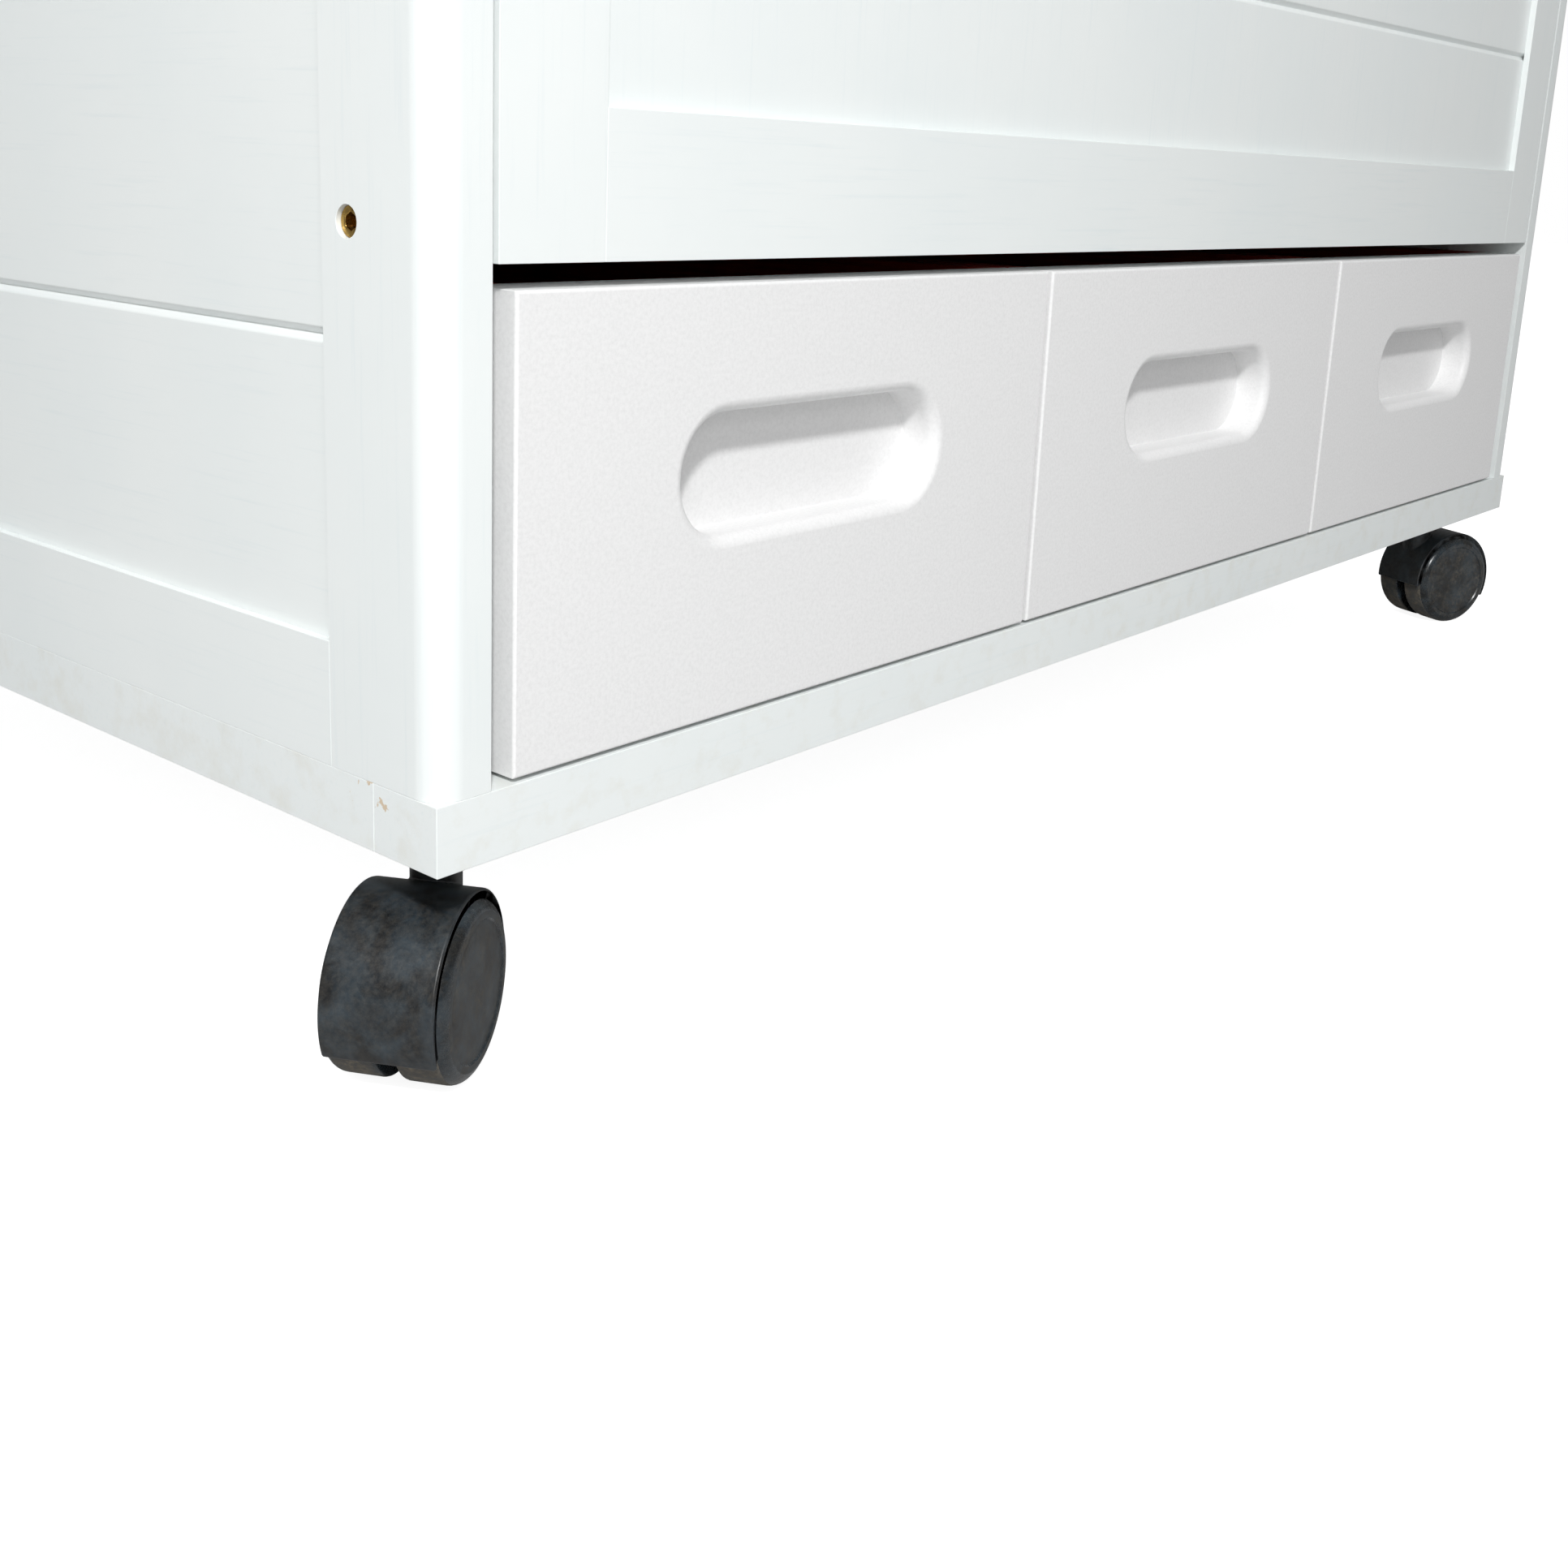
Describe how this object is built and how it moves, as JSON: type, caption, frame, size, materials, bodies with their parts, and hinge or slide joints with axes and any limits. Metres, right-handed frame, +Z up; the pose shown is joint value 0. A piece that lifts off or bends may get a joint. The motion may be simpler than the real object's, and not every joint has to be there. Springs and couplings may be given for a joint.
{
  "type": "sewing table",
  "caption": "Rolling sewing cabinet table: framed white cabinet with a swing door, a flip-over leaf, pull-out bins and twin-wheel casters.",
  "frame": {"origin": "on the floor, under the middle of the worktop", "axes": "+Z up, -Y towards the front with the door and the bins, +X towards the side where the leaf folds out"},
  "size_m": [0.6532, 0.402, 0.7693],
  "materials": {
    "white_paint": "satin lacquer",
    "white_front": "satin lacquer",
    "red_paint": "satin lacquer",
    "black_nylon": "fine matt",
    "zinc_steel": "zinc plated",
    "bolt_brass": "brass plated"
  },
  "bodies": {
    "cabinet": {"base_board": "white_paint", "base_front_rail": "white_paint", "left_front_stile": "white_paint", "left_back_stile": "white_paint", "left_rails": "white_paint", "left_panel": "white_paint", "right_front_stile": "white_paint", "right_back_stile": "white_paint", "right_rails": "white_paint", "right_panel": "white_paint", "back_panel": "white_paint", "drawer_bay_top": "white_paint", "middle_shelf": "white_paint", "top_rails": "white_paint", "fixed_top": "white_paint", "connector_bolts": "bolt_brass", "barrel_nuts": "zinc_steel", "shelf_pins": "zinc_steel", "caster_plates": "zinc_steel", "caster_screws": "zinc_steel", "magnet_catch": "black_nylon", "door_hinge_post_plates": "zinc_steel", "top_hinge_fixed_plates": "zinc_steel", "hinge_pins": "zinc_steel", "cabinet_hinge_screws": "zinc_steel"},
    "leaf": {"folding_leaf": "white_paint", "top_hinge_leaf_plates": "zinc_steel", "leaf_hinge_screws": "zinc_steel"},
    "door": {"door_stiles": "white_paint", "door_rails": "white_paint", "door_panel": "white_paint", "door_knob": "white_paint", "door_hinge_door_plates": "zinc_steel", "catch_plate": "zinc_steel", "door_screws": "zinc_steel"},
    "drawer_1": {"drawer_1_front": "white_front", "drawer_1_walls": "red_paint", "drawer_1_bottom": "red_paint"},
    "drawer_2": {"drawer_2_front": "white_front", "drawer_2_walls": "red_paint", "drawer_2_bottom": "red_paint"},
    "drawer_3": {"drawer_3_front": "white_front", "drawer_3_walls": "red_paint", "drawer_3_bottom": "red_paint"},
    "front_left_caster": {"front_left_caster_hood": "black_nylon", "front_left_caster_axle": "zinc_steel"},
    "front_left_wheel_a": {"front_left_wheel_a": "black_nylon"},
    "front_left_wheel_b": {"front_left_wheel_b": "black_nylon"},
    "front_right_caster": {"front_right_caster_hood": "black_nylon", "front_right_caster_axle": "zinc_steel"},
    "front_right_wheel_a": {"front_right_wheel_a": "black_nylon"},
    "front_right_wheel_b": {"front_right_wheel_b": "black_nylon"},
    "back_left_caster": {"back_left_caster_hood": "black_nylon", "back_left_caster_axle": "zinc_steel"},
    "back_left_wheel_a": {"back_left_wheel_a": "black_nylon"},
    "back_left_wheel_b": {"back_left_wheel_b": "black_nylon"},
    "back_right_caster": {"back_right_caster_hood": "black_nylon", "back_right_caster_axle": "zinc_steel"},
    "back_right_wheel_a": {"back_right_wheel_a": "black_nylon"},
    "back_right_wheel_b": {"back_right_wheel_b": "black_nylon"}
  },
  "joints": [
    {"name": "door_swing", "type": "hinge", "parent": "cabinet", "child": "door", "pos_m": [0.29525, -0.1816, 0.45615], "axis": [0, 0, 1], "range_deg": [0, 180]},
    {"name": "leaf_fold", "type": "hinge", "parent": "cabinet", "child": "leaf", "pos_m": [0.32525, 0, 0.75415], "axis": [0, 1, 0], "range_deg": [0, 180]},
    {"name": "drawer_1_slide", "type": "slide", "parent": "cabinet", "child": "drawer_1", "axis": [0, -1, 0], "range_m": [0, 0.3]},
    {"name": "drawer_2_slide", "type": "slide", "parent": "cabinet", "child": "drawer_2", "axis": [0, -1, 0], "range_m": [0, 0.3]},
    {"name": "drawer_3_slide", "type": "slide", "parent": "cabinet", "child": "drawer_3", "axis": [0, -1, 0], "range_m": [0, 0.3]},
    {"name": "front_left_swivel", "type": "hinge", "parent": "cabinet", "child": "front_left_caster", "pos_m": [-0.2875, -0.151, 0.049], "axis": [0, 0, 1], "continuous": true},
    {"name": "front_left_wheel_a_spin", "type": "hinge", "parent": "front_left_caster", "child": "front_left_wheel_a", "pos_m": [-0.29833, -0.15725, 0.02], "axis": [-0.5, 0.866, 0], "continuous": true},
    {"name": "front_left_wheel_b_spin", "type": "hinge", "parent": "front_left_caster", "child": "front_left_wheel_b", "pos_m": [-0.29833, -0.15725, 0.02], "axis": [-0.5, 0.866, 0], "continuous": true},
    {"name": "front_right_swivel", "type": "hinge", "parent": "cabinet", "child": "front_right_caster", "pos_m": [0.2875, -0.151, 0.049], "axis": [0, 0, 1], "continuous": true},
    {"name": "front_right_wheel_a_spin", "type": "hinge", "parent": "front_right_caster", "child": "front_right_wheel_a", "pos_m": [0.29883, -0.15628, 0.02], "axis": [-0.4226, -0.9063, 0], "continuous": true},
    {"name": "front_right_wheel_b_spin", "type": "hinge", "parent": "front_right_caster", "child": "front_right_wheel_b", "pos_m": [0.29883, -0.15628, 0.02], "axis": [-0.4226, -0.9063, 0], "continuous": true},
    {"name": "back_left_swivel", "type": "hinge", "parent": "cabinet", "child": "back_left_caster", "pos_m": [-0.2875, 0.173, 0.049], "axis": [0, 0, 1], "continuous": true},
    {"name": "back_left_wheel_a_spin", "type": "hinge", "parent": "back_left_caster", "child": "back_left_wheel_a", "pos_m": [-0.29957, 0.17624, 0.02], "axis": [0.2588, 0.9659, 0], "continuous": true},
    {"name": "back_left_wheel_b_spin", "type": "hinge", "parent": "back_left_caster", "child": "back_left_wheel_b", "pos_m": [-0.29957, 0.17624, 0.02], "axis": [0.2588, 0.9659, 0], "continuous": true},
    {"name": "back_right_swivel", "type": "hinge", "parent": "cabinet", "child": "back_right_caster", "pos_m": [0.2875, 0.173, 0.049], "axis": [0, 0, 1], "continuous": true},
    {"name": "back_right_wheel_a_spin", "type": "hinge", "parent": "back_right_caster", "child": "back_right_wheel_a", "pos_m": [0.29925, 0.17727, 0.02], "axis": [0.342, -0.9397, 0], "continuous": true},
    {"name": "back_right_wheel_b_spin", "type": "hinge", "parent": "back_right_caster", "child": "back_right_wheel_b", "pos_m": [0.29925, 0.17727, 0.02], "axis": [0.342, -0.9397, 0], "continuous": true}
  ]
}
